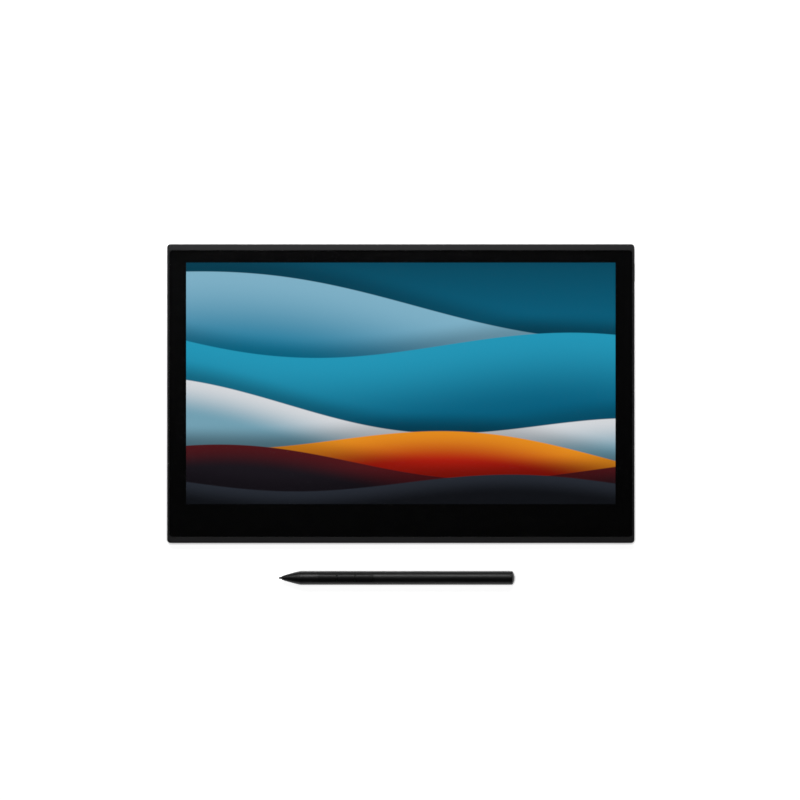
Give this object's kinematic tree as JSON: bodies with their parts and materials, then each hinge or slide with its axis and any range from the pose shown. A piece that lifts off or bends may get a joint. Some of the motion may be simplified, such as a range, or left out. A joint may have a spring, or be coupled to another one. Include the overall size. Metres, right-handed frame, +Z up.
{
  "type": "graphics tablet with screen",
  "caption": "Slim pen display: a flat tablet with a bonded cover glass over a wide screen, a dark housing with side sockets and a power button, and a battery-free pen with side switches.",
  "frame": {"origin": "middle of the footprint of the whole set, tablet and pen, on the desk", "axes": "+X to the right of someone who looks at the screen, +Y to the far edge of the tablet, +Z up out of the screen"},
  "size_m": [0.3202, 0.2332, 0.0095],
  "materials": {
    "housing_metal": "satin",
    "frame_plastic": "satin",
    "cover_glass": "gloss",
    "black_ink": "matte",
    "tape": "matte",
    "optical_bond": "gloss",
    "display": "gloss",
    "flex_cable": "satin",
    "circuit_board": "satin",
    "shield_sheet": "satin",
    "graphite": "satin",
    "foam": "matte",
    "chip_plastic": "matte",
    "connector_plastic": "satin",
    "tinned_steel": "satin",
    "black_steel": "satin",
    "lens_plastic": "gloss",
    "rubber": "matte",
    "pen_plastic": "satin",
    "switch_plastic": "satin",
    "nib_plastic": "satin",
    "ferrite": "matte",
    "copper_wire": "satin"
  },
  "bodies": {
    "tablet": {"rear_cover": "housing_metal", "front_frame": "frame_plastic", "cover_glass": "cover_glass", "border_mask": "black_ink", "glass_tape": "tape", "optical_bond": "optical_bond", "display_panel": "display", "panel_flexes": "flex_cable", "digitizer_board": "circuit_board", "digitizer_flex": "flex_cable", "shield_plate": "shield_sheet", "heat_spreader": "graphite", "cushion_strips": "foam", "main_board": "circuit_board", "main_chips": "chip_plastic", "shield_can": "tinned_steel", "cable_connectors": "connector_plastic", "left_port_board": "circuit_board", "right_port_board": "circuit_board", "left_usb_socket": "tinned_steel", "right_usb_socket": "tinned_steel", "left_usb_tongue": "chip_plastic", "right_usb_tongue": "chip_plastic", "left_port_flex": "flex_cable", "right_port_flex": "flex_cable", "power_switch": "connector_plastic", "status_led": "connector_plastic", "status_lens": "lens_plastic", "rubber_feet": "rubber", "housing_screws": "black_steel", "board_screws": "tinned_steel"},
    "power_button": {"power_button": "frame_plastic"},
    "pen": {"pen_barrel": "pen_plastic", "pen_tip_cone": "pen_plastic", "pen_ferrite_core": "ferrite", "pen_coil": "copper_wire", "pen_pressure_sensor": "connector_plastic", "pen_chassis": "pen_plastic", "pen_board": "circuit_board", "pen_switch_domes": "tinned_steel"},
    "nib": {"pen_nib": "nib_plastic"},
    "switch_front": {"side_switch_front": "switch_plastic"},
    "switch_middle": {"side_switch_middle": "switch_plastic"},
    "switch_rear": {"side_switch_rear": "switch_plastic"},
    "tail": {"pen_tail_cap": "pen_plastic", "nib_magazine": "nib_plastic", "spare_nibs": "nib_plastic"}
  },
  "joints": [
    {"name": "power_press", "type": "slide", "parent": "tablet", "child": "power_button", "axis": [-1, 0, 0], "range_m": [0, 0.0003], "stiffness_N_per_m": 3000},
    {"name": "pen_lift", "type": "slide", "parent": "tablet", "child": "pen", "axis": [0, 0, 1], "range_m": [0, 0.12]},
    {"name": "nib_press", "type": "slide", "parent": "pen", "child": "nib", "axis": [1, 0, 0], "range_m": [0, 0.0005], "stiffness_N_per_m": 4000},
    {"name": "front_switch_press", "type": "slide", "parent": "pen", "child": "switch_front", "axis": [0, 0, -1], "range_m": [0, 0.00035], "stiffness_N_per_m": 3000},
    {"name": "middle_switch_press", "type": "slide", "parent": "pen", "child": "switch_middle", "axis": [0, 0, -1], "range_m": [0, 0.00035], "stiffness_N_per_m": 3000},
    {"name": "rear_switch_press", "type": "slide", "parent": "pen", "child": "switch_rear", "axis": [0, 0, -1], "range_m": [0, 0.00035], "stiffness_N_per_m": 3000},
    {"name": "tail_cap_pull", "type": "slide", "parent": "pen", "child": "tail", "axis": [1, 0, 0], "range_m": [0, 0.036]}
  ]
}
